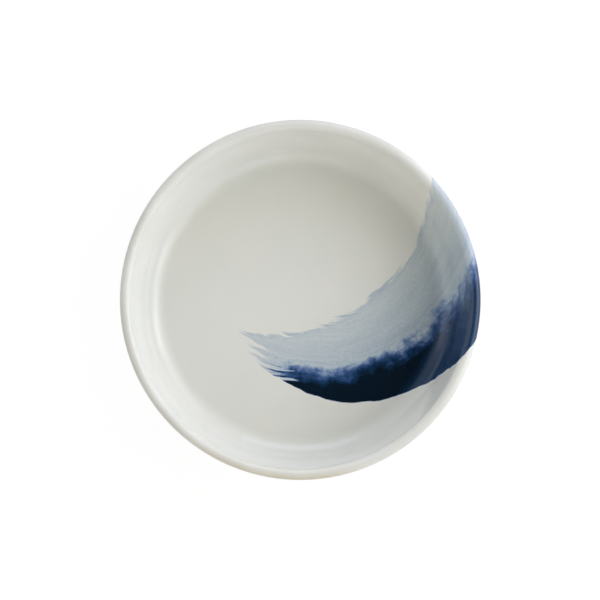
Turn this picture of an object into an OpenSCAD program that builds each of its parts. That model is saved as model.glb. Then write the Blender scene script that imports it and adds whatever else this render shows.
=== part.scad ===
// Small round soy sauce dish: a fired clay body on a turned foot ring, two brushed layers of colour
// on the clay, and the glaze that covers the clay and the colour but leaves the foot ring bare.
// The dish stands on Z = 0 with its axis on Z. Seen from above, X runs to the right and Y up.
// Lengths are in millimetres and angles in degrees.

/* [Dish] */
// Diameter over the glazed rim
dish_d = 95; // [90:1:110]
// Height from the table to the top of the glazed rim
dish_h = 24; // [20:0.5:30]
// Thickness of the glazed rim, which is a round bead
rim_t = 2.8; // [2.4:0.1:3.4]
// How far the inside of the wall leans outward from upright
wall_lean = 12; // [6:0.5:16]
// How much less the outside of the wall leans, so that the wall thickens towards the floor
wall_taper = 2.5; // [0:0.5:5]
// Radius of the glazed cove between the wall and the floor
cove_r = 6; // [4:0.5:8]
// Thickness of the clay floor
floor_t = 2.6; // [2.2:0.1:4]
// Thickness of the clay round the heel, under the cove
heel_t = 2.9; // [2.4:0.1:3.6]

/* [Foot ring] */
// Diameter over the foot ring at the table, as a share of the dish's diameter
foot_d_share = 0.63; // [0.55:0.01:0.66]
// Width of the foot ring at the table
foot_w = 3; // [2.4:0.1:4]
// Height of the foot ring, which is also the depth of the hollow inside it
foot_h = 2.4; // [2:0.1:3.2]
// How far both sides of the foot ring slope from upright
foot_draft = 12; // [4:1:18]
// Radius of the sponged edges of the bare foot face
foot_edge_r = 0.4; // [0.3:0.1:0.5]
// Radius of the corner between the foot ring and the underside, in clay
foot_corner_r = 0.9; // [0.7:0.1:1.1]

/* [Glaze] */
// Thickness of the glaze
glaze_t = 0.3; // [0.2:0.05:0.4]
// Height above the table at which the glaze ends on the foot ring
glaze_line = 1; // [0.9:0.1:1.2]
// Radius of the roll in which the glaze ends
glaze_roll_r = 0.4; // [0.3:0.05:0.5]

/* [Brushed colour] */
// Thickness of the colour between the clay and the glaze
colour_t = 0.08; // [0.05:0.01:0.12]
// Radius of the dark sweep's outer edge, as a share of the dish's radius
sweep_r_share = 0.8; // [0.74:0.01:0.86]
// Centre of that edge to the right of the dish's axis, as a share of the dish's radius
sweep_x_share = 0.32; // [0.26:0.01:0.38]
// Centre of that edge behind the dish's axis, as a share of the dish's radius
sweep_y_share = 0.23; // [0.17:0.01:0.29]
// Greatest width of the dark sweep, as a share of the dish's radius
sweep_w_share = 0.23; // [0.17:0.01:0.29]
// Direction in which the dark sweep is widest
sweep_angle = -52; // [-70:1:-40]
// Greatest width of the pale wash, as a share of the dish's radius
wash_w_share = 0.36; // [0.25:0.01:0.42]
// Direction in which the pale wash is widest
wash_angle = -38; // [-60:1:-20]
// Distance between the centres of a layer's two edges, as a share of the dish's radius
edge_shift_share = 0.34; // [0.28:0.01:0.42]
// How far the brush reached in from the rim on the right, as a share of the dish's radius
brush_reach_share = 1.47; // [1.3:0.01:1.6]
// How far below the top of the rim the colour ends on the outside
run_over = 5; // [3:0.5:8]

/* [Hidden] */
$fn = 144;
// Every cut runs this far past what it cuts
overrun = 1;
// A straight face ends this share of a round's radius from the round's centre, a hair inside it
tuck_share = 0.999;

// The clay of the rim is a round bead. The two faces of the wall start on it.
bead_r = rim_t / 2 - glaze_t;
bead_c = [(dish_d - rim_t) / 2, dish_h - rim_t / 2];
outer_lean = wall_lean - wall_taper;
inward = [-cos(wall_lean), sin(wall_lean)];
outward = [cos(outer_lean), -sin(outer_lean)];

// The cove touches the inside of the wall and the floor
floor_z = foot_h + floor_t;
clay_cove_r = cove_r + glaze_t;
cove_z = floor_z + clay_cove_r;
cove_drop = (bead_c.y - cove_z) * sin(wall_lean);
cove_c = [bead_c.x - (bead_r + clay_cove_r + cove_drop) / cos(wall_lean), cove_z];

// The heel touches the outside of the wall and the underside
heel_r = clay_cove_r + heel_t;
heel_z = foot_h + heel_r;
heel_drop = (bead_c.y - heel_z) * sin(outer_lean);
heel_c = [bead_c.x + (bead_r - heel_r - heel_drop) / cos(outer_lean), heel_z];

// The hollow opens upward past the rim, and past the heel's circle where that reaches higher
open_z = max(dish_h, heel_z + heel_r + glaze_t) + overrun;

// The foot ring's two sides mirror each other about its mean radius
foot_mid_r = (foot_d_share * dish_d - foot_w) / 2;
foot_out = [cos(foot_draft), -sin(foot_draft)];
foot_edge_c = [foot_w / 2 + foot_edge_r * tan(foot_draft) - foot_edge_r / cos(foot_draft), foot_edge_r];
corner_z = foot_h - foot_corner_r;
foot_corner_c = [foot_w / 2 + corner_z * tan(foot_draft) + foot_corner_r / cos(foot_draft), corner_z];
glaze_roll_c = [foot_w / 2 + glaze_line * tan(foot_draft), glaze_line];

// The edges of the two layers of colour are circles, and the layers share the one between them
rim_r = dish_d / 2;
edge_shift = edge_shift_share * rim_r;
sweep_r = sweep_r_share * rim_r;
sweep_c = rim_r * [sweep_x_share, sweep_y_share];
sweep_dir = [cos(sweep_angle), sin(sweep_angle)];
shared_c = sweep_c - edge_shift * sweep_dir;
shared_r = sweep_r + edge_shift - sweep_w_share * rim_r;
wash_dir = [cos(wash_angle), sin(wash_angle)];
wash_c = shared_c - edge_shift * wash_dir;
wash_r = shared_r + edge_shift - wash_w_share * rim_r;

// Shapes in the plane that turns about the axis. "skin" is a height over the clay.

// All that lies within the outer faces of the dish, above its underside
module envelope(skin) {
    polygon([
        [0, foot_h - skin],
        [heel_c.x, foot_h - skin],
        heel_c + tuck_share * (heel_r + skin) * outward,
        bead_c + tuck_share * (bead_r + skin) * outward,
        bead_c + tuck_share * (bead_r + skin) * inward,
        [0, bead_c.y + tuck_share * (bead_r + skin) * inward.y],
    ]);
    translate(heel_c)
        circle(heel_r + skin);
}

// The hollow that holds the sauce
module hollow(skin) {
    lip = bead_c + tuck_share * (bead_r + skin) * inward;
    polygon([
        [0, floor_z + skin],
        [cove_c.x, floor_z + skin],
        cove_c - tuck_share * (clay_cove_r - skin) * inward,
        lip,
        [lip.x, open_z],
        [0, open_z],
    ]);
    translate(cove_c)
        circle(clay_cove_r - skin);
}

// One half of the foot ring, from its mean radius out
module foot_half(skin) {
    difference() {
        polygon([
            [0, 0],
            [foot_edge_c.x, 0],
            foot_edge_c + tuck_share * (foot_edge_r + skin) * foot_out,
            foot_corner_c - tuck_share * (foot_corner_r - skin) * foot_out,
            foot_corner_c,
            [foot_corner_c.x, foot_h - skin],
            [0, foot_h - skin],
        ]);
        translate(foot_corner_c)
            circle(foot_corner_r - skin);
    }
    translate(foot_edge_c)
        circle(foot_edge_r + skin);
}

module foot_section(skin) {
    translate([foot_mid_r, 0]) {
        foot_half(skin);
        mirror([1, 0])
            foot_half(skin);
    }
}

// The whole dish cut through
module section(skin) {
    difference() {
        envelope(skin);
        hollow(skin);
    }
    translate(bead_c)
        circle(bead_r + skin);
    foot_section(skin);
}

// The roll at the end of the glaze, on the foot ring's outer and inner side
module glaze_rolls() {
    translate([foot_mid_r, 0])
        for (side = [-1, 1])
            translate([side * glaze_roll_c.x, glaze_roll_c.y])
                circle(glaze_roll_r);
}

// All the glaze cut through
module glaze_section() {
    difference() {
        union() {
            difference() {
                section(glaze_t);
                translate([0, -overrun])
                    square([dish_d, glaze_line + overrun]);
            }
            glaze_rolls();
        }
        section(0);
    }
}

// The hollow under the dish, out to the middle of the foot ring
module base_region() {
    square([foot_mid_r, foot_h]);
}

// Where the brush could reach: all of the inside, the rim, and the outside near it
module brushed_region() {
    hollow(-heel_t / 2);
    translate([0, dish_h - run_over])
        square([dish_d, dish_h]);
}

// The body of clay and colour where the brush could reach
module coloured_body() {
    rotate_extrude()
        intersection() {
            section(colour_t);
            brushed_region();
        }
}

// Outlines seen from above

// The crescent between a circle and a wider one pushed away from its widest side
module crescent(centre, radius, wide_centre, wide_radius) {
    difference() {
        translate(centre)
            circle(radius);
        translate(wide_centre)
            circle(wide_radius);
    }
}

module brush_limit() {
    translate([rim_r, 0])
        circle(brush_reach_share * rim_r);
}

module sweep_outline() {
    intersection() {
        crescent(sweep_c, sweep_r, shared_c, shared_r);
        brush_limit();
    }
}

module wash_outline() {
    intersection() {
        crescent(shared_c, shared_r, wash_c, wash_r);
        brush_limit();
    }
}

// A prism taller than the dish, over an outline
module above_outline() {
    translate([0, 0, -overrun])
        linear_extrude(dish_h + 2 * overrun)
            children();
}

// The film of one colour on the clay
module film() {
    difference() {
        intersection() {
            coloured_body();
            above_outline()
                children();
        }
        rotate_extrude()
            section(0);
    }
}

// The fired clay: floor, cove, wall, rim, heel and foot ring are turned from one piece
module clay_body() {
    color("#e6dccb")
        rotate_extrude()
            section(0);
}

// The dark stroke, which runs from the floor up the wall and over the rim
module indigo_sweep() {
    color("#0f284b")
        film()
            sweep_outline();
}

// The thinned colour that spreads from the inner edge of the dark stroke
module pale_wash() {
    color("#afb7be")
        film()
            wash_outline();
}

// The glaze over the inside, the rim, the outside and the outer side of the foot ring
module glaze_coat() {
    color("#ecece4")
        difference() {
            rotate_extrude()
                difference() {
                    glaze_section();
                    base_region();
                }
            intersection() {
                coloured_body();
                above_outline() {
                    sweep_outline();
                    wash_outline();
                }
            }
        }
}

// The glaze inside the foot ring, which the bare foot face keeps apart from the rest
module base_glaze() {
    color("#e4e3d9")
        rotate_extrude()
            intersection() {
                glaze_section();
                base_region();
            }
}

clay_body();
indigo_sweep();
pale_wash();
glaze_coat();
base_glaze();
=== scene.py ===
"""Looks of a small round soy sauce dish, built over its CAD parts and in the same frame.

The dish is thrown and turned from white stoneware. Dark blue and thinned colour are brushed on
the biscuit, and a clear glaze is fired over both, so the colour lies under a smooth gloss.
Lengths are in millimetres until a mesh is written, which is in metres.
"""
import logging
import math
from collections.abc import Callable, Sequence
from dataclasses import dataclass
from enum import Enum
from functools import cached_property, partial
from typing import NamedTuple

import bpy
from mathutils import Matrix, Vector, noise


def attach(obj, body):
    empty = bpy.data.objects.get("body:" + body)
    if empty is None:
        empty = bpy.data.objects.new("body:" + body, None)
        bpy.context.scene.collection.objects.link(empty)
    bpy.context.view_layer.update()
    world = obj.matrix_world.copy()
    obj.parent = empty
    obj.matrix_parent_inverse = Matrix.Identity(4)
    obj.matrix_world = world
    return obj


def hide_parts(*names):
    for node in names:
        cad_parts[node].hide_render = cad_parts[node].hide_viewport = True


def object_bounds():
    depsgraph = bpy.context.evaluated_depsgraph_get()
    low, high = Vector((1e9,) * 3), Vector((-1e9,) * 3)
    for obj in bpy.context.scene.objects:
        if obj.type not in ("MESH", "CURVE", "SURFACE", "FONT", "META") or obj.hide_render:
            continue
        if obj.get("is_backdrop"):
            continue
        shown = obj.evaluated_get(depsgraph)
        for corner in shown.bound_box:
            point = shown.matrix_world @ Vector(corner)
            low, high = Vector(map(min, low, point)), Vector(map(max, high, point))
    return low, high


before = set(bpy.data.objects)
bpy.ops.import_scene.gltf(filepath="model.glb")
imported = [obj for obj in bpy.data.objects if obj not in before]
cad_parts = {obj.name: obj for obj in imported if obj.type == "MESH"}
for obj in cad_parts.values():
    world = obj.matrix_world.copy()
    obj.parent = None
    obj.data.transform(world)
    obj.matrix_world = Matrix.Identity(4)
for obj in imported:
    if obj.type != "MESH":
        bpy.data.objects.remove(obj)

MM = 0.001
Point = tuple[float, float]
Span = tuple[float, float]
Socket = bpy.types.NodeSocket
AddNode = Callable[..., Socket]
log = logging.getLogger("dish")

# A point this near to the axis lies on it, and one this near to a level face lies on the face
ON_AXIS = 1e-9
ON_FACE = 1e-6

# The sRGB curve is a straight line up to its knee and a power above it
SRGB_KNEE, SRGB_SLOPE, SRGB_LIFT, SRGB_POWER = 0.04045, 12.92, 0.055, 2.4

# What makes a Mix node mix colours, with its inputs for the factor and the colours, and its output
COLOURS = {"data_type": "RGBA", "places": (0, 6, 7), "out": 2}
EASED = {"interpolation_type": "SMOOTHSTEP"}

# Most of a noise node's values lie between these
MOST_NOISE: Span = (0.3, 0.7)
# How far the noise that shapes the meshes swings about its middle
NOISE_SWING = 0.8


class Palette(Enum):
    """Colours of the dish and its studio, as sRGB hex."""

    GLAZED_WHITE = "EAE9E1"
    GLAZE_POOL = "E0E3DA"
    # The rim's darker break colour is partly a real glaze break and partly painted shade on the sides
    # away from the right-hand lamps. Its tan is a painted reflection of a tan tabletop at the front.
    RIM_BREAK_AND_SHADE = "D3D0C5"
    RIM_WARM_REFLECTION = "CFC3A4"
    BASE_WHITE = "E3E2D8"
    BISCUIT = "DDD3C1"
    BISCUIT_WARM = "CDBC9F"
    FLASHING = "BE9F77"
    NAVY = "081A29"
    NAVY_LIGHT = "143659"
    BLEED_BLUE = "3D5A8B"
    HALO_BLUE = "839BBC"
    WASH = "BECAD0"
    WASH_DARK = "A4B5C3"
    FLOOR = "C6C6C4"
    FLOOR_FIBRE = "D2D2D0"
    RIGHT_DAYLIGHT = "E0EEFF"
    RIGHT_SKYLIGHT = "FFF5E1"
    SIDE_DAYLIGHT = "EFE7FF"
    BACK_DAYLIGHT = "D6E0FF"
    LEFT_DAYLIGHT = "E5E6FF"
    FRONT_LAMPLIGHT = "FFF2E4"
    FRONT_DAYLIGHT = "AFC0FF"
    ROOM = "FFFFEB"


class Side(Enum):
    """The two sides of the foot ring, by the direction in which they face."""

    OUTER = 1
    INNER = -1


class TurnedPoint(NamedTuple):
    """One point of a turned section, with its number there, in millimetres and radians."""

    number: int
    radius: float
    height: float
    angle: float


def linear(colour: Palette) -> tuple[float, float, float, float]:
    """Turns an sRGB hex colour into a linear one.

    Args:
        colour: The named colour.

    Returns:
        Linear red, green and blue, and an alpha of 1.
    """
    channels = []
    for start in (0, 2, 4):
        value = int(colour.value[start:start + 2], 16) / 255
        if value <= SRGB_KNEE:
            channels.append(value / SRGB_SLOPE)
        else:
            channels.append(((value + SRGB_LIFT) / (1 + SRGB_LIFT)) ** SRGB_POWER)
    return (*channels, 1.0)


def add_node(tree: bpy.types.NodeTree, kind: str, *values: object, places: Sequence[int] | None = None,
             named: dict | None = None, out: int | str = 0, **settings: object) -> Socket | None:
    """Adds one node with its settings and links.

    Args:
        tree: The tree that the node joins.
        kind: The node's Blender type without "ShaderNode".
        values: What goes into the inputs in their order. A socket is linked, anything else is set.
        places: Numbers of the inputs that the values go into, where those aren't the first ones.
        named: The same for inputs that are given by name.
        out: The output that is wanted, by number or name.
        settings: Property name to value.

    Returns:
        The wanted output, or None where the node has none.
    """
    node = tree.nodes.new("ShaderNode" + kind)
    for name, value in settings.items():
        setattr(node, name, value)
    placed = zip(places or range(len(values)), values)
    for place, value in [*placed, *(named or {}).items()]:
        socket = node.inputs[place]
        if isinstance(value, Socket):
            tree.links.new(value, socket)
        else:
            socket.default_value = value
    return node.outputs[out] if node.outputs else None


def new_tree(owner: bpy.types.Material | bpy.types.World) -> AddNode:
    """Empties the node tree of a material or a world.

    Args:
        owner: The material or the world.

    Returns:
        The function that adds a node to its tree.
    """
    owner.use_nodes = True
    owner.node_tree.nodes.clear()
    return partial(add_node, owner.node_tree)


def seen_rays(add: AddNode) -> Socket:
    """Adds the nodes that give 1 to rays from the camera, also through glass, and 0 to others."""
    rays = add("LightPath", out="Is Camera Ray"), add("LightPath", out="Is Transmission Ray")
    return add("Math", *rays, operation="MAXIMUM")


def place_mm(add: AddNode) -> Socket:
    """Adds the nodes that give the place on an object in millimetres."""
    return add("VectorMath", add("TexCoord", out="Object"), named={"Scale": 1 / MM}, operation="SCALE")


def polar(angle: float, radius: float = 1.0) -> Point:
    """Gives the point at an angle in degrees and a radius from the origin."""
    return radius * math.cos(math.radians(angle)), radius * math.sin(math.radians(angle))


def arc(centre: Point, radius: float, start: float, end: float, steps: int) -> list[Point]:
    """Points along an arc of the section, its ends included.

    Args:
        centre: Centre of the arc.
        radius: Its radius.
        start: Angle of its first point in degrees.
        end: Angle of its last point in degrees.
        steps: Number of pieces.

    Returns:
        Points as (radius, height) pairs.
    """
    turns = [polar(start + (end - start) * i / steps, radius) for i in range(steps + 1)]
    return [(centre[0] + x, centre[1] + z) for x, z in turns]


def straight(start: Point, end: Point, pitch: float) -> list[Point]:
    """Points strictly between two points of the section, evenly apart.

    Args:
        start: The point before the first.
        end: The point after the last.
        pitch: Greatest distance between neighbours.

    Returns:
        Points as (radius, height) pairs.
    """
    steps = max(1, math.ceil(math.dist(start, end) / pitch))
    return [tuple(a + (b - a) * i / steps for a, b in zip(start, end)) for i in range(1, steps)]


def normals(points: list[Point]) -> list[Point]:
    """Unit normals of an open section, on the left hand as it runs.

    Args:
        points: Section as (radius, height) pairs.

    Returns:
        One normal for each point.
    """
    found = []
    for before, after in zip(points[:1] + points[:-1], points[1:] + points[-1:]):
        length = math.dist(before, after)
        found.append(((before[1] - after[1]) / length, (after[0] - before[0]) / length))
    return found


def clamped(value: float) -> float:
    """Holds a value between 0 and 1."""
    return min(1.0, max(0.0, value))


def eased(value: float) -> float:
    """Holds a value between 0 and 1 and rounds off how it starts and stops."""
    held = clamped(value)
    return held * held * (3 - 2 * held)


def wave(turn: float) -> float:
    """Gives a sine wave that runs from 0 to 1, at a turn in radians."""
    return 0.5 + 0.5 * math.sin(turn)


def unevenness(at: TurnedPoint, size: float, seed: float) -> float:
    """A smooth value from 0 to 1 that wanders from place to place.

    Args:
        at: The point whose value is wanted.
        size: Distance over which the value changes, in millimetres.
        seed: Number that picks another pattern.

    Returns:
        The value.
    """
    place = Vector((at.radius * math.cos(at.angle), at.radius * math.sin(at.angle), at.height)) / size
    return clamped(0.5 + NOISE_SWING * noise.noise(place + Vector((seed, 0.0, 0.0))))


@dataclass(frozen=True)
class DishForm:
    """The section of the dish, with the same sizes as its CAD parts.

    The section lies in the plane that turns about the axis, and "skin" is a height over the clay.
    """

    dish_d: float
    dish_h: float
    rim_t: float = 2.8
    wall_lean: float = 12.0
    wall_taper: float = 2.5
    cove_r: float = 6.0
    floor_t: float = 2.6
    heel_t: float = 2.9
    foot_d_share: float = 0.63
    foot_w: float = 3.0
    foot_h: float = 2.4
    foot_draft: float = 12.0
    foot_edge_r: float = 0.4
    foot_corner_r: float = 0.9
    glaze_t: float = 0.3
    glaze_line: float = 1.0
    glaze_roll_r: float = 0.4
    # Greatest distance between points on a straight stretch, and the number of pieces in each arc
    point_pitch: float = 0.7
    cove_steps: int = 28
    inner_bead_steps: int = 16
    outer_bead_steps: int = 22
    heel_steps: int = 30
    foot_steps: int = 8
    roll_steps: int = 10

    @property
    def bead_r(self) -> float:
        """Radius of the rim's bead in clay."""
        return self.rim_t / 2 - self.glaze_t

    @property
    def bead_c(self) -> Point:
        """Centre of the rim's bead."""
        return (self.dish_d - self.rim_t) / 2, self.dish_h - self.rim_t / 2

    @property
    def outer_lean(self) -> float:
        """Lean of the outside of the wall."""
        return self.wall_lean - self.wall_taper

    @property
    def floor_z(self) -> float:
        """Height of the clay floor."""
        return self.foot_h + self.floor_t

    @property
    def clay_cove_r(self) -> float:
        """Radius of the cove in clay."""
        return self.cove_r + self.glaze_t

    @property
    def cove_c(self) -> Point:
        """Centre of the cove, which touches the floor and the inside of the wall."""
        return self.round_c(self.floor_z, self.clay_cove_r, self.wall_lean, self.bead_r)

    @property
    def heel_r(self) -> float:
        """Radius of the heel in clay."""
        return self.clay_cove_r + self.heel_t

    @property
    def heel_c(self) -> Point:
        """Centre of the heel, which touches the underside and the outside of the wall."""
        return self.round_c(self.foot_h, self.heel_r, self.outer_lean, -self.bead_r)

    @property
    def foot_mid_r(self) -> float:
        """Mean radius of the foot ring."""
        return (self.foot_d_share * self.dish_d - self.foot_w) / 2

    def round_c(self, level: float, radius: float, lean: float, bead_out: float) -> Point:
        """Centre of a round that touches a level face under it and a face of the wall outside it.

        Args:
            level: Height of the level face.
            radius: Radius of the round.
            lean: Lean of the wall's face.
            bead_out: Distance from that face out to the rim bead's centre.

        Returns:
            The centre as a (radius, height) pair.
        """
        z = level + radius
        drop = (self.bead_c[1] - z) * math.sin(math.radians(lean))
        return self.bead_c[0] - (radius + bead_out + drop) / math.cos(math.radians(lean)), z

    def foot_side(self, height: float) -> float:
        """Distance from the foot ring's mean radius to its clay side at a height."""
        return self.foot_w / 2 + height * math.tan(math.radians(self.foot_draft))

    def inside(self, skin: float) -> list[Point]:
        """Section from the axis over floor, cove and wall to the top of the rim's bead.

        Args:
            skin: Height over the clay.

        Returns:
            Points as (radius, height) pairs.
        """
        cove = arc(self.cove_c, self.clay_cove_r - skin, -90, -self.wall_lean, self.cove_steps)
        bead = arc(self.bead_c, self.bead_r + skin, 180 - self.wall_lean, 90, self.inner_bead_steps)
        middle = (0.0, cove[0][1])
        floor = straight(middle, cove[0], self.point_pitch)
        wall = straight(cove[-1], bead[0], self.point_pitch)
        return [middle] + floor + cove + wall + bead

    def outside(self, skin: float) -> list[Point]:
        """Section from the top of the rim's bead down the outside to the corner at the foot ring.

        Args:
            skin: Height over the clay.

        Returns:
            Points as (radius, height) pairs.
        """
        bead = arc(self.bead_c, self.bead_r + skin, 90, -self.outer_lean, self.outer_bead_steps)
        heel = arc(self.heel_c, self.heel_r + skin, -self.outer_lean, -90, self.heel_steps)
        corner = self.foot_corner(skin, Side.OUTER)
        wall = straight(bead[-1], heel[0], self.point_pitch)
        underside = straight(heel[-1], corner[0], self.point_pitch)
        return bead[1:] + wall + heel + underside + corner

    def foot_corner(self, skin: float, side: Side) -> list[Point]:
        """Section of the rounded corner between the underside and a side of the foot ring.

        Args:
            skin: Height over the clay.
            side: Which side of the ring.

        Returns:
            Points as (radius, height) pairs, from the underside down.
        """
        z = self.foot_h - self.foot_corner_r
        x = self.foot_side(z) + self.foot_corner_r / math.cos(math.radians(self.foot_draft))
        points = arc((x, z), self.foot_corner_r - skin, 90, 180 - self.foot_draft, self.foot_steps)
        return [(self.foot_mid_r + side.value * x, z) for x, z in points]

    def foot_edge(self, side: Side) -> list[Point]:
        """Section of the sponged edge of the foot face.

        Args:
            side: Which side of the ring.

        Returns:
            Points as (radius, height) pairs, from the ring's side down to the face.
        """
        lean = math.radians(self.foot_draft)
        x = self.foot_side(self.foot_edge_r) - self.foot_edge_r / math.cos(lean)
        points = arc((x, self.foot_edge_r), self.foot_edge_r, -self.foot_draft, -90, self.foot_steps)
        return [(self.foot_mid_r + side.value * x, z) for x, z in points]

    def glaze_roll(self, side: Side) -> list[Point]:
        """Section of the roll in which the glaze ends.

        Args:
            side: Which side of the ring.

        Returns:
            Points as (radius, height) pairs, from the glaze's skin down to the clay.
        """
        start = math.degrees(math.acos(self.glaze_t / self.glaze_roll_r)) - self.foot_draft
        centre = (self.foot_side(self.glaze_line), self.glaze_line)
        points = arc(centre, self.glaze_roll_r, start, -90 - self.foot_draft, self.roll_steps)
        return [(self.foot_mid_r + side.value * x, z) for x, z in points]


def revolve(name: str, loop: list[Point], segments: int,
            shape: Callable[[TurnedPoint], Point]) -> bpy.types.Object:
    """Turns a closed section about the dish's axis into a closed mesh.

    Args:
        name: Name of the piece.
        loop: Section as (radius, height) pairs, with the clay or glaze on the right hand as it
            runs. Points on the axis become poles.
        segments: Number of steps round the axis.
        shape: Gives a point's worked radius and height.

    Returns:
        The new object, in metres.
    """
    vertices: list[tuple[float, float, float]] = []
    rings: list[list[int]] = []
    for number, (radius, height) in enumerate(loop):
        first = len(vertices)
        if radius < ON_AXIS:
            vertices.append((0.0, 0.0, shape(TurnedPoint(number, 0.0, height, 0.0))[1] * MM))
            rings.append([first] * segments)
            continue
        for step in range(segments):
            angle = 2 * math.pi * step / segments
            r, z = shape(TurnedPoint(number, radius, height, angle))
            vertices.append((r * math.cos(angle) * MM, r * math.sin(angle) * MM, z * MM))
        rings.append(list(range(first, first + segments)))
    pairs = list(zip(rings, rings[1:]))
    if loop[0][0] > ON_AXIS:
        pairs.append((rings[-1], rings[0]))
    faces = []
    for low, high in pairs:
        for step in range(segments):
            after = (step + 1) % segments
            corners = list(dict.fromkeys((low[step], high[step], high[after], low[after])))
            if len(corners) > 2:
                faces.append(corners)
    mesh = bpy.data.meshes.new(name)
    mesh.from_pydata(vertices, [], faces)
    mesh.shade_smooth()
    mesh.update()
    piece = bpy.data.objects.new(name, mesh)
    bpy.context.scene.collection.objects.link(piece)
    return piece


@dataclass(frozen=True)
class BrushWork:
    """The brushed colour's outline seen from above, with the same shares as its CAD parts."""

    rim_r: float
    sweep_r_share: float = 0.80
    sweep_x_share: float = 0.32
    sweep_y_share: float = 0.23
    sweep_w_share: float = 0.23
    sweep_angle: float = -52.0
    wash_w_share: float = 0.36
    wash_angle: float = -38.0
    edge_shift_share: float = 0.34
    brush_reach_share: float = 1.47
    run_over: float = 5.0

    @property
    def edge_shift(self) -> float:
        """Distance between the centres of a layer's two edges."""
        return self.edge_shift_share * self.rim_r

    @property
    def sweep_c(self) -> Vector:
        """Centre of the dark sweep's outer edge."""
        return Vector((self.sweep_x_share, self.sweep_y_share, 0)) * self.rim_r

    @property
    def sweep_r(self) -> float:
        """Radius of the dark sweep's outer edge."""
        return self.sweep_r_share * self.rim_r

    @property
    def shared_c(self) -> Vector:
        """Centre of the edge that the dark sweep and the wash share."""
        return self.sweep_c - self.edge_shift * Vector((*polar(self.sweep_angle), 0))

    @property
    def shared_r(self) -> float:
        """Radius of the edge that the dark sweep and the wash share."""
        return self.sweep_r + self.edge_shift - self.sweep_w_share * self.rim_r

    @property
    def wash_c(self) -> Vector:
        """Centre of the pale wash's inner edge."""
        return self.shared_c - self.edge_shift * Vector((*polar(self.wash_angle), 0))

    @property
    def wash_r(self) -> float:
        """Radius of the pale wash's inner edge."""
        return self.shared_r + self.edge_shift - self.wash_w_share * self.rim_r

    @property
    def reach(self) -> float:
        """How far the brush reached in from the rim on the right."""
        return self.brush_reach_share * self.rim_r


@dataclass(frozen=True)
class Spot:
    """Where a point of the dish is, in millimetres, as sockets of one material."""

    add: AddNode
    form: DishForm

    @cached_property
    def whole(self) -> Socket:
        """The place itself."""
        return place_mm(self.add)

    @cached_property
    def flat(self) -> Socket:
        """The place seen from above."""
        return self.add("VectorMath", self.whole, (1.0, 1.0, 0.0), operation="MULTIPLY")

    @cached_property
    def radius(self) -> Socket:
        """Distance from the axis."""
        return self.add("VectorMath", self.flat, out="Value", operation="LENGTH")

    @cached_property
    def height(self) -> Socket:
        """Height over the table."""
        return self.add("SeparateXYZ", self.whole, out="Z")

    def towards(self, side: float) -> Socket:
        """Distance from the axis towards a side, which is an angle in degrees."""
        facing = (*polar(side), 0.0)
        return self.add("VectorMath", self.flat, facing, out="Value", operation="DOT_PRODUCT")


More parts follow.
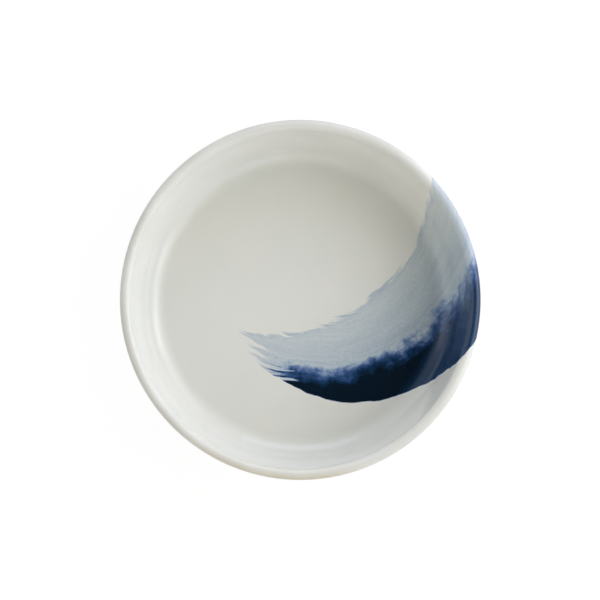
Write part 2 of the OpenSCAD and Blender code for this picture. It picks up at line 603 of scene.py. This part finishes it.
@dataclass(frozen=True)
class WhiteGlaze:
    """White gloss glaze on stoneware, dipped and fired.

    Fired glass over a white body gives the eye a soft chalky white under a sharp gloss that
    sways a little and a cooler tone where it pooled. The rim's flank is painted darker, partly as
    a glaze break and partly as painted shade on the sides away from the right-hand lamps, and
    it is painted tan at the front as a painted reflection of a tan tabletop.
    """

    title: str = "white_gloss_glaze"
    white: Palette = Palette.GLAZED_WHITE
    ior: float = 1.5
    roughness: Span = (0.11, 0.176)
    # The rim is duller. This sets in between two shares of its thickness below its top.
    rim_roughness: float = 0.3
    rim_dulled: Span = (1.0, 1 / 3)
    # Slow swells and fine peel in the gloss, and how strong the peel is beside the swells
    swell_mm: float = 6.0
    peel_mm: float = 0.9
    peel_share: float = 0.16
    relief_mm: float = 0.03
    relief_strength: float = 0.6
    # The pool's colour: size of its clouds, and its greatest share there, in the cove and at the foot
    cloud_mm: float = 14.0
    mottle: float = 0.45
    cove_pool: float = 0.1
    foot_pool: float = 0.6
    # The break grows from a least share between two distances in from the rim's edge. It sets in
    # between two distances down from the rim's top, and the clouds make it patchy.
    break_in: Span = (1.6, 0.2)
    break_down: Span = (3.2, 1.3)
    break_least: float = 0.3
    patch_noise: Span = (0.35, 0.6)
    patch_share: Span = (0.35, 0.7)
    # Directions of two sides, and the shares of the rim's radius towards them between which the
    # painted rim shade gives way to the lit side facing the right-hand lamps, and between which the
    # rim turns tan as a painted reflection of a tan tabletop
    lit_side: float = 10.0
    lit_reach: Span = (0.59, 0.84)
    warm_reflection_side: float = 262.0
    warm_reflection_reach: Span = (0.8, 0.96)

    def material(self, form: DishForm) -> bpy.types.Material:
        """Builds the material.

        Args:
            form: Sizes of the dish, which place the pool and the break.

        Returns:
            The material.
        """
        material = bpy.data.materials.new(self.title)
        add = new_tree(material)
        spot = Spot(add, form)
        sway = add("TexNoise", spot.whole, named={"Scale": 1 / self.swell_mm, "Detail": 1.0})
        peel = add("TexNoise", spot.whole, named={"Scale": 1 / self.peel_mm, "Detail": 2.0})
        relief = add("Math", peel, self.peel_share, sway, operation="MULTIPLY_ADD")
        bump = add("Bump", named={
            "Strength": self.relief_strength, "Distance": self.relief_mm * MM, "Height": relief})
        smooth = add("MapRange", sway, *MOST_NOISE, *self.roughness)
        start, end = (form.dish_h - form.rim_t * share for share in self.rim_dulled)
        dulled = add("MapRange", spot.height, start, end, **EASED)
        gloss = add("MapRange", dulled, 0.0, 1.0, smooth, self.rim_roughness)
        colour = self.colour(spot)
        shader = add("BsdfPrincipled", named={
            "Base Color": colour, "Roughness": gloss, "IOR": self.ior, "Normal": bump})
        add("OutputMaterial", shader)
        return material

    def colour(self, spot: Spot) -> Socket:
        """Colours the plain ware under the glaze.

        Args:
            spot: Place on the dish.

        Returns:
            The colour.
        """
        add, form = spot.add, spot.form
        cloud = add("TexNoise", spot.whole, named={"Scale": 1 / self.cloud_mm, "Detail": 3.0})
        mottle = add("MapRange", cloud, *MOST_NOISE, 0.0, self.mottle)
        # The glaze pooled in the cove and at the foot ring, where it is thickest
        cove_out = add("Math", spot.radius, form.cove_c[0] + form.cove_r / 2, operation="SUBTRACT")
        cove_off = add("Math", cove_out, operation="ABSOLUTE")
        cove_pool = add("MapRange", cove_off, form.cove_r, 0.0, 0.0, self.cove_pool, **EASED)
        foot_pool = add("MapRange", spot.height, form.floor_z, form.foot_h, 0.0, self.foot_pool, **EASED)
        pool = add("Math", cove_pool, foot_pool, operation="MAXIMUM")
        thick = add("Math", mottle, pool, use_clamp=True, operation="ADD")
        pooled = add("Mix", thick, linear(self.white), linear(Palette.GLAZE_POOL), **COLOURS)
        return self.break_shade_and_reflection(spot, cloud, pooled)

    def break_shade_and_reflection(self, spot: Spot, cloud: Socket, pooled: Socket) -> Socket:
        """Paints the rim's flank darker, as glaze break and painted shade, and tan, as a painted
        reflection.

        Args:
            spot: Place on the dish.
            cloud: Slow mottle that makes the break uneven.
            pooled: Colour of the ware elsewhere.

        Returns:
            The colour.
        """
        add, form = spot.add, spot.form
        rim_r = form.dish_d / 2
        start, end = (rim_r - inset for inset in self.break_in)
        flank = add("MapRange", spot.radius, start, end, self.break_least, 1.0, **EASED)
        start, end = (form.dish_h - drop for drop in self.break_down)
        high = add("MapRange", spot.height, start, end, **EASED)
        rim = add("Math", flank, high, operation="MULTIPLY")
        patch = add("MapRange", cloud, *self.patch_noise, *self.patch_share, **EASED)
        # Painted shade: the darker break is kept off the rim's side facing the right-hand lamps and stays
        # on the sides away from them
        start, end = (share * rim_r for share in self.lit_reach)
        shade_side = add("MapRange", spot.towards(self.lit_side), start, end, 1.0, 0.0, **EASED)
        break_and_shade = add("Math", add("Math", rim, patch, operation="MULTIPLY"), shade_side, operation="MULTIPLY")
        # At the front the rim is painted tan, a painted reflection of a tan tabletop beside the dish
        start, end = (share * rim_r for share in self.warm_reflection_reach)
        warm_reflection = add("MapRange", spot.towards(self.warm_reflection_side), start, end, **EASED)
        tone = add("Mix", warm_reflection, linear(Palette.RIM_BREAK_AND_SHADE), linear(Palette.RIM_WARM_REFLECTION), **COLOURS)
        return add("Mix", break_and_shade, pooled, tone, **COLOURS)


@dataclass(frozen=True)
class Stroke:
    """What the brush left at a point of the surface, as sockets of one material."""

    # Share of the colour that was laid, and share of the dark colour that stayed up
    kept: Socket
    stayed: Socket
    # Distances outside the wash's inner edge and the shared edge, and inside the tail's ragged end
    inner_out: Socket
    shared_out: Socket
    tail: Socket
    # Noises: the streaks of the brush's hairs and the grain of the pigment
    hairs: Socket
    grain: Socket


@dataclass(frozen=True, kw_only=True)
class BrushedGlaze(WhiteGlaze):
    """Cobalt colour brushed on the biscuit under the same glaze.

    A loaded brush gives the eye one crisp edge, a bleeding one, bristle streaks and a dry tail,
    and the thinned wash gives flat grey-blue with a darker line where it dried.
    """

    brush: BrushWork
    title: str = "clear_glaze_over_brushed_cobalt"
    hair_mm: float = 0.9
    hair_length_mm: float = 24.0
    grain_mm: float = 0.42
    edge_mm: float = 0.15
    # Noises that shift an edge: the size of the swells and how far they shift it, end to end
    wander: Span = (11.0, 3.0)
    bloom: Span = (4.5, 7.0)
    feather: Span = (1.125, 1.6)
    # The end outside the rim: size of the runs, how far they and the hairs reach, its fade, and
    # the blur of the line inside the clay that parts the outside from the inside
    run_mm: float = 4.0
    run_reach: float = 3.2
    stray_reach: float = 0.8
    run_fade: float = 0.9
    halfway_blur: float = 0.1
    # Shares of the cove's radius out from its centre between which the dark colour thins, and
    # the share that stays
    thinning: Span = (-0.3, 0.5)
    thinnest: float = 0.7
    # How far the hairs reach past an edge, and the distances over which each layer fades in.
    # The hairs' middle value shifts an edge, and these distances allow for that.
    tail_hairs: float = 30.0
    wash_hairs: float = 6.0
    wash_tail: Span = (22.0, 25.0)
    wash_edge: Span = (2.6, 3.6)
    wash_body: Span = (3.0, 16.0)
    wash_load: Span = (0.55, 0.95)
    tide_edge: Span = (4.6, 3.2)
    tide_load: float = 0.35
    speck: Span = (0.75, 1.25)
    sweep_hairs: float = 2.4
    sweep_tail: Span = (26.0, 29.0)
    sweep_edge: Span = (-1.4, 4.2)
    grain_load: float = 0.22
    # The dark colour from thin to thick, each tone with the loads between which it comes in
    tones: tuple[tuple[Palette, Span], ...] = (
        (Palette.HALO_BLUE, (0.02, 0.3)),
        (Palette.BLEED_BLUE, (0.18, 0.52)),
        (Palette.NAVY_LIGHT, (0.4, 0.75)),
        (Palette.NAVY, (0.62, 1.0)),
    )

    def shifted(self, spot: Spot, place: Socket, size: float, reach: float) -> Socket:
        """Shifts a place by a noise, so that an edge drawn from it wanders.

        Args:
            spot: Place on the dish that the noise is read at.
            place: The place to shift.
            size: Size of the noise's swells in millimetres.
            reach: How far it shifts, in millimetres from end to end.

        Returns:
            The shifted place.
        """
        add = spot.add
        drift = add("TexNoise", spot.whole, named={"Scale": 1 / size, "Detail": 3.0}, out="Color")
        centred = add("VectorMath", drift, (0.5, 0.5, 0.5), operation="SUBTRACT")
        return add("VectorMath", centred, (reach, reach, 0.0), place, operation="MULTIPLY_ADD")

    def hairs(self, add: AddNode, place: Socket) -> Socket:
        """Draws the streaks of the brush's hairs, fine across the stroke and long round it.

        Args:
            add: Adds a node to the material.
            place: Place on the dish seen from above.

        Returns:
            The streaks, from about 0.3 to 0.7.
        """
        offset = add("VectorMath", place, self.brush.shared_c, operation="SUBTRACT")
        lane = add("VectorMath", offset, out="Value", operation="LENGTH")
        turn = add("Math", add("SeparateXYZ", offset, out="Y"), add("SeparateXYZ", offset, out="X"),
                   operation="ARCTAN2")
        along = add("Math", turn, self.brush.shared_r / self.hair_length_mm, operation="MULTIPLY")
        across = add("Math", lane, self.hair_mm, operation="DIVIDE")
        track = add("CombineXYZ", across, along)
        return add("TexNoise", track, named={"Scale": 1.0, "Detail": 3.0, "Roughness": 0.6})

    def colour(self, spot: Spot) -> Socket:
        """Lays the wash and then the dark sweep over the plain ware.

        Args:
            spot: Place on the dish.

        Returns:
            The colour.
        """
        stroke = self.stroke(spot)
        washed = self.wash(spot.add, super().colour(spot), stroke)
        return self.sweep(spot.add, washed, stroke)

    def stroke(self, spot: Spot) -> Stroke:
        """Works out what the brush left.

        Args:
            spot: Place on the dish.

        Returns:
            The sockets of the stroke.
        """
        add, form, brush = spot.add, spot.form, self.brush
        steady = self.shifted(spot, spot.flat, *self.wander)
        bled = self.shifted(spot, steady, *self.bloom)
        bled = self.shifted(spot, bled, *self.feather)
        hairs = self.hairs(add, steady)

        outer = add("VectorMath", steady, brush.sweep_c, out="Value", operation="DISTANCE")
        shared = add("VectorMath", bled, brush.shared_c, out="Value", operation="DISTANCE")
        inner = add("VectorMath", steady, brush.wash_c, out="Value", operation="DISTANCE")
        started = add("VectorMath", steady, (brush.rim_r, 0.0, 0.0), out="Value", operation="DISTANCE")

        outer_in = add("Math", brush.sweep_r, outer, operation="SUBTRACT")
        crisp = add("MapRange", outer_in, -self.edge_mm, self.edge_mm, **EASED)
        kept = add("Math", crisp, self.over_the_rim(spot, hairs), operation="MULTIPLY")
        # The dark colour ran down the wall before it dried, and is thinner up there
        start, end = (form.cove_c[0] + form.cove_r * share for share in self.thinning)
        held = add("MapRange", spot.radius, start, end, 1.0, self.thinnest, **EASED)
        reach_in = add("Math", brush.reach, started, operation="SUBTRACT")
        return Stroke(
            kept=kept,
            stayed=add("Math", kept, held, operation="MULTIPLY"),
            inner_out=add("Math", inner, brush.wash_r, operation="SUBTRACT"),
            shared_out=add("Math", shared, brush.shared_r, operation="SUBTRACT"),
            tail=add("Math", hairs, self.tail_hairs, reach_in, operation="MULTIPLY_ADD"),
            hairs=hairs,
            grain=add("TexNoise", spot.whole, named={"Scale": 1 / self.grain_mm, "Detail": 3.0}),
        )

    def over_the_rim(self, spot: Spot, hairs: Socket) -> Socket:
        """Ends the colour raggedly on the outside, below the rim.

        Args:
            spot: Place on the dish.
            hairs: Streaks of the brush's hairs.

        Returns:
            1 where the brush could reach and 0 past its end.
        """
        add, form = spot.add, spot.form
        # A line runs half way through the wall, the cove and the floor, at one distance from the
        # cove's centre once the wall's lean is taken off. What lies past it is the outside.
        lean = math.tan(math.radians((form.wall_lean + form.outer_lean) / 2))
        centre_r, centre_z = form.cove_c
        raised = add("Math", spot.height, centre_z, operation="SUBTRACT")
        sunk = add("Math", add("Math", raised, -1.0, operation="MULTIPLY"), 0.0, operation="MAXIMUM")
        leaned = add("Math", add("Math", raised, 0.0, operation="MAXIMUM"), -lean, spot.radius,
                     operation="MULTIPLY_ADD")
        out = add("Math", add("Math", leaned, centre_r, operation="SUBTRACT"), 0.0, operation="MAXIMUM")
        away = add("VectorMath", add("CombineXYZ", out, sunk), out="Value", operation="LENGTH")
        halfway = form.clay_cove_r + form.heel_t / 2
        outside = add("MapRange", away, halfway - self.halfway_blur, halfway + self.halfway_blur)
        below = add("Math", form.bead_c[1], spot.height, operation="SUBTRACT")
        runs = add("TexNoise", spot.whole, named={"Scale": 1 / self.run_mm, "Detail": 1.0})
        uneven = add("Math", runs, self.run_reach, below, operation="MULTIPLY_ADD")
        ragged = add("Math", hairs, self.stray_reach, uneven, operation="MULTIPLY_ADD")
        run_over = self.brush.run_over
        past = add("MapRange", ragged, run_over, run_over + self.run_fade, **EASED)
        ended = add("Math", outside, past, operation="MULTIPLY")
        return add("Math", 1.0, ended, operation="SUBTRACT")

    def wash(self, add: AddNode, ware: Socket, stroke: Stroke) -> Socket:
        """Lays the thinned colour over the ware.

        Args:
            add: Adds a node to the material.
            ware: Colour of the plain ware.
            stroke: What the brush left.

        Returns:
            The colour.
        """
        edge = add("Math", stroke.hairs, self.wash_hairs, stroke.inner_out, operation="MULTIPLY_ADD")
        begun = add("MapRange", edge, *self.wash_edge, **EASED)
        ended = add("MapRange", stroke.tail, *self.wash_tail, **EASED)
        laid = add("Math", begun, ended, operation="MULTIPLY")
        cover = add("Math", laid, stroke.kept, operation="MULTIPLY")
        body = add("MapRange", edge, *self.wash_body, *self.wash_load)
        tide = add("MapRange", edge, *self.tide_edge, 0.0, self.tide_load, **EASED)
        load = add("Math", body, tide, use_clamp=True, operation="ADD")
        speck = add("MapRange", add("Math", stroke.grain, stroke.hairs, operation="ADD"), *self.speck)
        tone = add("Mix", speck, linear(Palette.WASH), linear(Palette.WASH_DARK), **COLOURS)
        shown = add("Math", cover, load, operation="MULTIPLY")
        return add("Mix", shown, ware, tone, **COLOURS)

    def sweep(self, add: AddNode, under: Socket, stroke: Stroke) -> Socket:
        """Lays the dark sweep over the wash, from its pale halo to its navy body.

        Args:
            add: Adds a node to the material.
            under: Colour of the washed ware.
            stroke: What the brush left.

        Returns:
            The colour.
        """
        ended = add("MapRange", stroke.tail, *self.sweep_tail, **EASED)
        streaked = add("Math", stroke.hairs, self.sweep_hairs, stroke.shared_out,
                       operation="MULTIPLY_ADD")
        depth = add("MapRange", streaked, *self.sweep_edge)
        laid = add("Math", depth, ended, operation="MULTIPLY")
        cover = add("Math", laid, stroke.stayed, operation="MULTIPLY")
        grained = add("Math", stroke.grain, self.grain_load, -self.grain_load / 2,
                      operation="MULTIPLY_ADD")
        inked = add("Math", cover, operation="SIGN")
        load = add("Math", grained, inked, cover, operation="MULTIPLY_ADD")
        tone = under
        for colour, loads in self.tones:
            share = add("MapRange", load, *loads, **EASED)
            tone = add("Mix", share, tone, linear(colour), **COLOURS)
        return tone


@dataclass(frozen=True)
class Biscuit:
    """Unglazed white stoneware, turned on the wheel and sponged.

    Sintered clay with open pores gives the eye a matt, faintly sandy cream, with a tan line
    where salts flashed beside the glaze.
    """

    ior: float = 1.5
    roughness: Span = (0.82, 0.92)
    cloud_mm: float = 6.0
    grit_mm: float = 0.35
    relief_mm: float = 0.05
    relief_strength: float = 0.5
    # How far below the glaze line the tan reaches, how far it wanders, and how strong it gets
    flash_mm: float = 0.5
    flash_wander: float = 0.5
    flash_share: float = 0.55

    def material(self, form: DishForm) -> bpy.types.Material:
        """Builds the biscuit's material.

        Args:
            form: Sizes of the dish, which place the tan line.

        Returns:
            The material.
        """
        material = bpy.data.materials.new("sponged_stoneware_biscuit")
        add = new_tree(material)
        spot = Spot(add, form)
        cloud = add("TexNoise", spot.whole, named={"Scale": 1 / self.cloud_mm, "Detail": 4.0})
        grit = add("TexNoise", spot.whole, named={"Scale": 1 / self.grit_mm, "Detail": 3.0})
        blend = add("MapRange", cloud, *MOST_NOISE)
        tone = add("Mix", blend, linear(Palette.BISCUIT), linear(Palette.BISCUIT_WARM), **COLOURS)
        line = add("Math", cloud, self.flash_wander, spot.height, operation="MULTIPLY_ADD")
        flashed = add("MapRange", line, form.glaze_line - self.flash_mm, form.glaze_line,
                      0.0, self.flash_share, **EASED)
        colour = add("Mix", flashed, tone, linear(Palette.FLASHING), **COLOURS)
        bump = add("Bump", named={
            "Strength": self.relief_strength, "Distance": self.relief_mm * MM, "Height": grit})
        matt = add("MapRange", grit, *MOST_NOISE, *self.roughness)
        shader = add("BsdfPrincipled", named={
            "Base Color": colour, "Roughness": matt, "IOR": self.ior, "Normal": bump})
        add("OutputMaterial", shader)
        return material


@dataclass(frozen=True)
class PaperFloor:
    """Matt white studio paper, which the camera sees as white under a faint shadow."""

    fibre_mm: float = 2.0
    glow: float = 1.13
    glow_share: float = 0.82

    def material(self) -> bpy.types.Material:
        """Builds the floor's material.

        Returns:
            The material.
        """
        material = bpy.data.materials.new("matt_studio_paper")
        add = new_tree(material)
        # The paper's fibre is drawn coarse, and is still too faint to show past the glow
        fibre = add("TexNoise", place_mm(add), named={"Scale": 1 / self.fibre_mm})
        tone = add("Mix", fibre, linear(Palette.FLOOR), linear(Palette.FLOOR_FIBRE), **COLOURS)
        matt = add("BsdfDiffuse", tone)
        # The lit paper and this glow add up to a strength of 1
        glow = add("Emission", named={"Strength": self.glow})
        mirrored = add("Math", seen_rays(add), add("LightPath", out="Is Glossy Ray"), operation="MAXIMUM")
        share = add("Math", mirrored, self.glow_share, operation="MULTIPLY")
        add("OutputMaterial", add("MixShader", share, matt, glow))
        return material


@dataclass(frozen=True)
class GlazeLine:
    """The swaying line in which the wiped glaze ends on one side of the foot ring."""

    side: Side
    sway_mm: float
    seed: float
    sway_size: float = 9.0
    fade_mm: float = 0.7

    def swayed(self, form: DishForm, at: TurnedPoint) -> Point:
        """Shifts a point of the glaze up or down along the ring's side.

        Args:
            form: Sizes of the dish.
            at: The point of the even section.

        Returns:
            The worked radius and height.
        """
        held = clamped((form.foot_h - form.glaze_t - at.height) / self.fade_mm)
        drift = 2 * unevenness(at._replace(height=0.0), self.sway_size, self.seed) - 1
        dz = held * self.sway_mm * drift
        slope = math.tan(math.radians(form.foot_draft))
        return at.radius + self.side.value * dz * slope, at.height + dz


@dataclass
class ClayBody:
    """The fired clay: floor, cove, wall, rim, heel and foot ring, turned from one piece."""

    form: DishForm
    finish: Biscuit = Biscuit()
    segments: int = 360
    groove_mm: float = 0.05
    groove_pitch: float = 0.55
    groove_steps: int = 6
    # The least of a groove that the sponge left, and how its wear changes from place to place
    least_left: float = 0.2
    wear_size: float = 12.0
    wear_seed: float = 4.0

    def section(self) -> list[Point]:
        """Draws the clay's section, from the floor's middle out, under and back to the axis.

        Returns:
            Points as (radius, height) pairs.
        """
        form = self.form
        outer_edge, inner_edge = form.foot_edge(Side.OUTER), form.foot_edge(Side.INNER)
        inner_corner = form.foot_corner(0.0, Side.INNER)
        under_middle = (0.0, form.foot_h)
        fine = self.groove_pitch / self.groove_steps
        loop = form.inside(0.0) + form.outside(0.0)
        loop += straight(loop[-1], outer_edge[0], fine * 2) + outer_edge
        loop += straight(outer_edge[-1], inner_edge[-1], fine) + inner_edge[::-1]
        loop += straight(inner_edge[0], inner_corner[-1], fine * 2) + inner_corner[::-1]
        return loop + straight(inner_corner[0], under_middle, form.point_pitch) + [under_middle]

    def worked(self, at: TurnedPoint) -> Point:
        """Cuts the turning tool's grooves into the foot face, worn by the sponge.

        Args:
            at: The point of the even section.

        Returns:
            The worked radius and height.
        """
        if at.height > ON_FACE:
            return at.radius, at.height
        groove = 0.5 - 0.5 * math.cos(2 * math.pi * at.radius / self.groove_pitch + at.angle)
        spared = unevenness(at, self.wear_size, self.wear_seed)
        left = self.least_left + (1 - self.least_left) * spared
        return at.radius, self.groove_mm * groove * left

    def build(self) -> bpy.types.Object:
        """Builds the clay body and dresses it.

        Returns:
            The new piece.
        """
        piece = revolve("clay_body_turned", self.section(), self.segments, self.worked)
        piece.data.materials.append(self.finish.material(self.form))
        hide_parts("clay_body")
        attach(piece, "root")
        return piece


@dataclass
class GlazeCoat:
    """The glaze over the inside, the rim, the outside and the outer side of the foot ring."""

    form: DishForm
    brush: BrushWork
    segments: int = 432
    sway_mm: float = 0.13
    sway_size: float = 8.0
    sway_seed: float = 2.0
    ring_mm: float = 0.003
    outer_ring_mm: float = 0.025
    ring_pitch: float = 2.6
    # Distance over which the sway and the rings set in above the foot ring and away from the rim
    calm_mm: float = 4.0
    line: GlazeLine = GlazeLine(Side.OUTER, sway_mm=0.16, seed=7.0)

    @cached_property
    def skin(self) -> list[Point]:
        """The glaze's surface, from the floor's middle over the rim to the end of its roll.

        Returns:
            Points as (radius, height) pairs.
        """
        form = self.form
        points = form.inside(form.glaze_t) + form.outside(form.glaze_t)
        roll = form.glaze_roll(Side.OUTER)
        return points + straight(points[-1], roll[0], form.glaze_t) + roll

    @cached_property
    def skin_normals(self) -> list[Point]:
        """The directions out of the skin."""
        return normals(self.skin)

    def section(self) -> list[Point]:
        """Draws the closed section: the skin, then back along the clay."""
        return self.skin + (self.form.inside(0.0) + self.form.outside(0.0))[::-1]

    def worked(self, at: TurnedPoint) -> Point:
        """Works the even section into a hand-thrown one with a swaying glaze line.

        Args:
            at: The point of the even section.

        Returns:
            The worked radius and height.
        """
        form = self.form
        if at.number >= len(self.skin):
            return at.radius, at.height
        if at.height < form.foot_h - form.glaze_t:
            return self.line.swayed(form, at)
        out, up = self.skin_normals[at.number]
        from_rim = math.dist((at.radius, at.height), form.bead_c) - form.rim_t / 2
        free = eased((at.height - form.foot_h) / self.calm_mm) * eased(from_rim / self.calm_mm)
        ring = wave(2 * math.pi * at.height / self.ring_pitch - at.angle)
        depth = self.sway_mm * unevenness(at, self.sway_size, self.sway_seed)
        depth += ring * (self.outer_ring_mm if out > 0 else self.ring_mm)
        return at.radius - out * free * depth, at.height - up * free * depth

    def build(self) -> bpy.types.Object:
        """Builds the coat, dresses it and lays the brushed colour under it.

        Returns:
            The new piece.
        """
        piece = revolve("glaze_coat_brushed", self.section(), self.segments, self.worked)
        piece.data.materials.append(BrushedGlaze(brush=self.brush).material(self.form))
        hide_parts("glaze_coat", "indigo_sweep", "pale_wash")
        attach(piece, "root")
        return piece


@dataclass
class BaseGlaze:
    """The glaze inside the foot ring, over the turned underside."""

    form: DishForm
    finish: WhiteGlaze = WhiteGlaze("white_base_glaze", Palette.BASE_WHITE)
    segments: int = 360
    ring_mm: float = 0.035
    ring_pitch: float = 2.9
    ring_steps: int = 6
    # Distance from the axis over which the turning rings set in
    middle_mm: float = 4.0
    line: GlazeLine = GlazeLine(Side.INNER, sway_mm=0.18, seed=13.0)

    @cached_property
    def skin(self) -> list[Point]:
        """The glaze's surface, from the end of its roll on the foot ring in to the axis.

        Returns:
            Points as (radius, height) pairs.
        """
        form = self.form
        corner = form.foot_corner(form.glaze_t, Side.INNER)
        roll = form.glaze_roll(Side.INNER)
        middle = (0.0, corner[0][1])
        points = [middle] + straight(middle, corner[0], self.ring_pitch / self.ring_steps) + corner
        points += straight(corner[-1], roll[0], form.glaze_t) + roll
        return points[::-1]

    def section(self) -> list[Point]:
        """Draws the closed section: the skin, then back out along the clay.

        Returns:
            Points as (radius, height) pairs.
        """
        form = self.form
        corner = form.foot_corner(0.0, Side.INNER)
        middle = (0.0, form.foot_h)
        return self.skin + [middle] + straight(middle, corner[0], form.point_pitch) + corner

    def worked(self, at: TurnedPoint) -> Point:
        """Works in the turning rings and the swaying glaze line.

        Args:
            at: The point of the even section.

        Returns:
            The worked radius and height.
        """
        form = self.form
        if at.number >= len(self.skin):
            return at.radius, at.height
        if at.height < form.foot_h - form.glaze_t - ON_FACE:
            return self.line.swayed(form, at)
        ring = wave(2 * math.pi * at.radius / self.ring_pitch + at.angle)
        return at.radius, at.height - self.ring_mm * ring * min(1.0, at.radius / self.middle_mm)

    def build(self) -> bpy.types.Object:
        """Builds the base glaze and dresses it.

        Returns:
            The new piece.
        """
        piece = revolve("base_glaze_turned", self.section(), self.segments, self.worked)
        piece.data.materials.append(self.finish.material(self.form))
        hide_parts("base_glaze")
        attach(piece, "root")
        return piece


@dataclass(frozen=True)
class SoftLamp:
    """One soft lamp: its direction from +X towards +Y and its height in degrees, and its watts."""

    name: str
    azimuth: float
    elevation: float
    power: float
    colour: Palette


@dataclass
class Studio:
    """Pale floor, seven soft lamps all round, plain room light with a dim ceiling, and the camera.

    Lengths of the lamps and the floor are in metres, and those of the camera in millimetres.
    """

    camera_tilt: float = 3.2
    camera_reach: float = 600.0
    sensor_mm: float = 36.0
    rim_px: float = 180.4
    image_px: float = 600.0
    dish_offset_px: Point = (0.25, 0.9)
    floor_half: float = 1.5
    lamp_reach: float = 0.8
    lamp_side: float = 0.6
    lamp_aim: float = 0.02
    lamps: tuple[SoftLamp, ...] = (
        SoftLamp("right_window", 0.0, 25.0, 2.02, Palette.RIGHT_DAYLIGHT),
        SoftLamp("right_skylight", 0.0, 45.0, 1.26, Palette.RIGHT_SKYLIGHT),
        SoftLamp("side_window", 30.0, 25.0, 1.76, Palette.SIDE_DAYLIGHT),
        SoftLamp("back_window", 90.0, 25.0, 2.54, Palette.BACK_DAYLIGHT),
        SoftLamp("left_wall", 180.0, 25.0, 1.19, Palette.LEFT_DAYLIGHT),
        SoftLamp("front_wall", 270.0, 25.0, 1.08, Palette.FRONT_LAMPLIGHT),
        SoftLamp("front_window", 300.0, 25.0, 1.17, Palette.FRONT_DAYLIGHT),
    )
    # The room dims to the ceiling's strength between two sines of the height angle
    room_strength: float = 0.476
    ceiling_strength: float = 0.030
    ceiling: Span = (0.8, 0.95)

    def floor(self) -> None:
        """Lays the floor."""
        half = self.floor_half
        corners = [(-half, -half, 0), (half, -half, 0), (half, half, 0), (-half, half, 0)]
        mesh = bpy.data.meshes.new("studio_floor")
        mesh.from_pydata(corners, [], [(0, 1, 2, 3)])
        mesh.update()
        floor = bpy.data.objects.new("studio_floor", mesh)
        bpy.context.scene.collection.objects.link(floor)
        mesh.materials.append(PaperFloor().material())
        floor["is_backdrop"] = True

    def hang(self, lamp: SoftLamp) -> None:
        """Hangs one square lamp that faces the dish.

        Args:
            lamp: Where it hangs and how it shines.
        """
        light = bpy.data.lights.new(lamp.name, "AREA")
        light.shape = "SQUARE"
        light.size = self.lamp_side
        light.energy = lamp.power
        light.color = linear(lamp.colour)[:3]
        flat, up = polar(lamp.elevation, self.lamp_reach)
        away = Vector((*polar(lamp.azimuth, flat), up))
        holder = bpy.data.objects.new(lamp.name, light)
        holder.location = away + Vector((0, 0, self.lamp_aim))
        holder.rotation_euler = away.to_track_quat("Z", "Y").to_euler()
        bpy.context.scene.collection.objects.link(holder)

    def world(self) -> None:
        """Fills the room with plain light, which is dim straight overhead.

        The dim ceiling keeps the gloss on the floor of the dish from greying the colour under it.
        The camera sees the room as white.
        """
        world = bpy.data.worlds.new("room_light")
        bpy.context.scene.world = world
        add = new_tree(world)
        up = add("SeparateXYZ", add("TexCoord", out="Generated"), out="Z")
        level = add("MapRange", up, *self.ceiling, self.room_strength, self.ceiling_strength, **EASED)
        fill = add("Background", linear(Palette.ROOM), level)
        white = add("Background", (1.0, 1.0, 1.0, 1.0), 1.0)
        add("OutputWorld", add("MixShader", seen_rays(add), fill, white))

    def camera(self, form: DishForm) -> None:
        """Hangs the camera over the dish, a little to the front, with the rim at the view's middle.

        Args:
            form: Sizes of the dish.
        """
        lens = bpy.data.cameras.new("overhead_camera")
        half_view = form.dish_d / 2 * (self.image_px / 2) / self.rim_px
        lens.sensor_width = self.sensor_mm
        lens.lens = self.sensor_mm / 2 * self.camera_reach / half_view
        lens.shift_x, lens.shift_y = (-offset / self.image_px for offset in self.dish_offset_px)
        camera = bpy.data.objects.new("overhead_camera", lens)
        up, back = polar(self.camera_tilt, self.camera_reach)
        camera.location = (0.0, -back * MM, (form.bead_c[1] + up) * MM)
        camera.rotation_euler = (math.radians(self.camera_tilt), 0.0, 0.0)
        bpy.context.scene.collection.objects.link(camera)
        bpy.context.scene.camera = camera

    def build(self, form: DishForm) -> None:
        """Builds the whole studio round the dish.

        Args:
            form: Sizes of the dish.
        """
        self.floor()
        self.world()
        for lamp in self.lamps:
            self.hang(lamp)
        self.camera(form)
        bpy.context.scene.view_settings.view_transform = "Standard"


def main() -> None:
    """Builds the dish piece by piece, then its studio."""
    logging.basicConfig(level=logging.INFO, format="%(name)s: %(message)s")
    cad_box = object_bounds()
    low, high = cad_box
    form = DishForm(dish_d=(high.x - low.x) / MM, dish_h=high.z / MM)
    brush = BrushWork(rim_r=form.dish_d / 2)
    for part in (ClayBody(form), GlazeCoat(form, brush), BaseGlaze(form)):
        piece = part.build()
        log.info("%s: %d faces", piece.name, len(piece.data.polygons))
    Studio().build(form)


if __name__ == "__main__":
    main()
